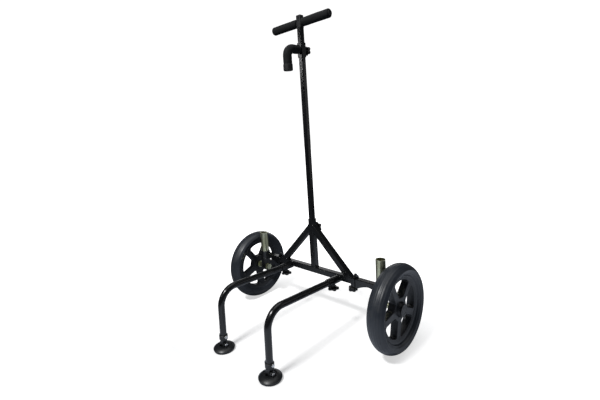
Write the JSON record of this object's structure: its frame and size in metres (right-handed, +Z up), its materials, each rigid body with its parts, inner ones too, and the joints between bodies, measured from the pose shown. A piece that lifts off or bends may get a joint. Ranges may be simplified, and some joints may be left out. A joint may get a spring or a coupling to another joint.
{
  "type": "game cart",
  "caption": "Two-wheeled hand cart for field gear: tall pole with a T handle and sliding padded hook, triangular frame, clamped axle arms with upright posts, bent legs with feet.",
  "frame": {"origin": "on the ground, at the middle of the whole cart's bounding box seen from above", "axes": "+Z up, +X to the cart's right wheel, +Y to the back, where the wheels and the pole are; the legs reach towards -Y"},
  "size_m": [0.8226, 0.596, 1.236],
  "materials": {
    "black_paint": "satin black powder coat with soft highlights",
    "black_plastic": "fine-grained moulded plastic",
    "knob_plastic": "matt moulded plastic",
    "foot_plastic": "satin moulded plastic",
    "rim_plastic": "satin moulded nylon",
    "tyre": "smooth solid foam rubber",
    "foam": "closed-cell foam",
    "soft_rubber": "matt rubber",
    "yellow_zinc": "bright yellow zinc plate",
    "steel": "bright zinc plate"
  },
  "bodies": {
    "frame": {"crossbar": "black_paint", "crossbar_collars": "black_paint", "upright_sleeve": "black_paint", "clamp_bosses": "black_paint", "brace_right": "black_paint", "brace_left": "black_paint", "leg_receiver_right": "black_paint", "leg_receiver_left": "black_paint"},
    "pole": {"pole_tube": "black_paint", "pole_foot_plug": "black_plastic", "handle_socket": "black_plastic", "handle_bar": "black_paint", "handle_end_plugs": "black_plastic", "grip_right": "foam", "grip_left": "foam"},
    "hook": {"hook_collar": "black_paint", "hook_boss": "black_paint", "hook_tube": "black_paint", "hook_foam": "foam", "hook_end_cap": "soft_rubber"},
    "apex_knob": {"knob_apex": "knob_plastic", "knob_stud_apex": "steel"},
    "hook_knob": {"knob_hook": "knob_plastic", "knob_stud_hook": "steel"},
    "arm_right": {"arm_spigot_right": "black_paint", "arm_bracket_right": "black_paint", "post_collar_right": "black_paint", "post_tube_right": "yellow_zinc", "axle_right": "yellow_zinc", "axle_hardware_right": "yellow_zinc"},
    "wheel_right": {"tyre_right": "tyre", "rim_right": "rim_plastic", "hub_fittings_right": "black_plastic"},
    "leg_right": {"leg_tube_right": "black_paint", "foot_socket_right": "black_plastic", "foot_bolts_right": "steel"},
    "foot_right": {"foot_disc_right": "foot_plastic", "foot_pad_right": "soft_rubber"},
    "arm_knob_right": {"knob_arm_right": "knob_plastic", "knob_stud_arm_right": "steel"},
    "leg_knob_right": {"knob_leg_right": "knob_plastic", "knob_stud_leg_right": "steel"},
    "arm_left": {"arm_spigot_left": "black_paint", "arm_bracket_left": "black_paint", "post_collar_left": "black_paint", "post_tube_left": "yellow_zinc", "axle_left": "yellow_zinc", "axle_hardware_left": "yellow_zinc"},
    "wheel_left": {"tyre_left": "tyre", "rim_left": "rim_plastic", "hub_fittings_left": "black_plastic"},
    "leg_left": {"leg_tube_left": "black_paint", "foot_socket_left": "black_plastic", "foot_bolts_left": "steel"},
    "foot_left": {"foot_disc_left": "foot_plastic", "foot_pad_left": "soft_rubber"},
    "arm_knob_left": {"knob_arm_left": "knob_plastic", "knob_stud_arm_left": "steel"},
    "leg_knob_left": {"knob_leg_left": "knob_plastic", "knob_stud_leg_left": "steel"}
  },
  "joints": [
    {"name": "pole_slide", "type": "slide", "parent": "frame", "child": "pole", "axis": [0, 0, 1], "range_m": [0, 0.13]},
    {"name": "hook_slide", "type": "slide", "parent": "pole", "child": "hook", "axis": [0, 0, 1], "range_m": [-0.6, 0.054]},
    {"name": "apex_knob_turn", "type": "hinge", "parent": "frame", "child": "apex_knob", "pos_m": [0, 0.168, 0.394], "axis": [0, -1, 0], "range_deg": [-540, 0]},
    {"name": "hook_knob_turn", "type": "hinge", "parent": "hook", "child": "hook_knob", "pos_m": [0, 0.168, 1.107], "axis": [0, -1, 0], "range_deg": [-540, 0]},
    {"name": "arm_right_slide", "type": "slide", "parent": "frame", "child": "arm_right", "axis": [1, 0, 0], "range_m": [0, 0.1]},
    {"name": "wheel_right_spin", "type": "hinge", "parent": "arm_right", "child": "wheel_right", "pos_m": [0.378, 0.138, 0.16], "axis": [1, 0, 0], "continuous": true},
    {"name": "leg_right_swing", "type": "hinge", "parent": "frame", "child": "leg_right", "pos_m": [0.131, 0.093, 0.21455], "axis": [0, -0.9984, 0.0566], "range_deg": [-15, 90]},
    {"name": "foot_right_tilt", "type": "hinge", "parent": "leg_right", "child": "foot_right", "pos_m": [0.131, -0.2575, 0.021], "axis": [1, 0, 0], "range_deg": [-15, 15]},
    {"name": "arm_knob_right_turn", "type": "hinge", "parent": "frame", "child": "arm_knob_right", "pos_m": [0.192, 0.138, 0.19], "axis": [0, 0, 1], "range_deg": [-540, 0]},
    {"name": "leg_knob_right_turn", "type": "hinge", "parent": "frame", "child": "leg_knob_right", "pos_m": [0.131, 0.093, 0.185], "axis": [0, 0, 1], "range_deg": [-540, 0]},
    {"name": "arm_left_slide", "type": "slide", "parent": "frame", "child": "arm_left", "axis": [-1, 0, 0], "range_m": [0, 0.1]},
    {"name": "wheel_left_spin", "type": "hinge", "parent": "arm_left", "child": "wheel_left", "pos_m": [-0.378, 0.138, 0.16], "axis": [1, 0, 0], "continuous": true},
    {"name": "leg_left_swing", "type": "hinge", "parent": "frame", "child": "leg_left", "pos_m": [-0.131, 0.093, 0.21455], "axis": [0, 0.9984, -0.0566], "range_deg": [-15, 90]},
    {"name": "foot_left_tilt", "type": "hinge", "parent": "leg_left", "child": "foot_left", "pos_m": [-0.131, -0.2575, 0.021], "axis": [1, 0, 0], "range_deg": [-15, 15]},
    {"name": "arm_knob_left_turn", "type": "hinge", "parent": "frame", "child": "arm_knob_left", "pos_m": [-0.192, 0.138, 0.19], "axis": [0, 0, 1], "range_deg": [-540, 0]},
    {"name": "leg_knob_left_turn", "type": "hinge", "parent": "frame", "child": "leg_knob_left", "pos_m": [-0.131, 0.093, 0.185], "axis": [0, 0, 1], "range_deg": [-540, 0]}
  ]
}
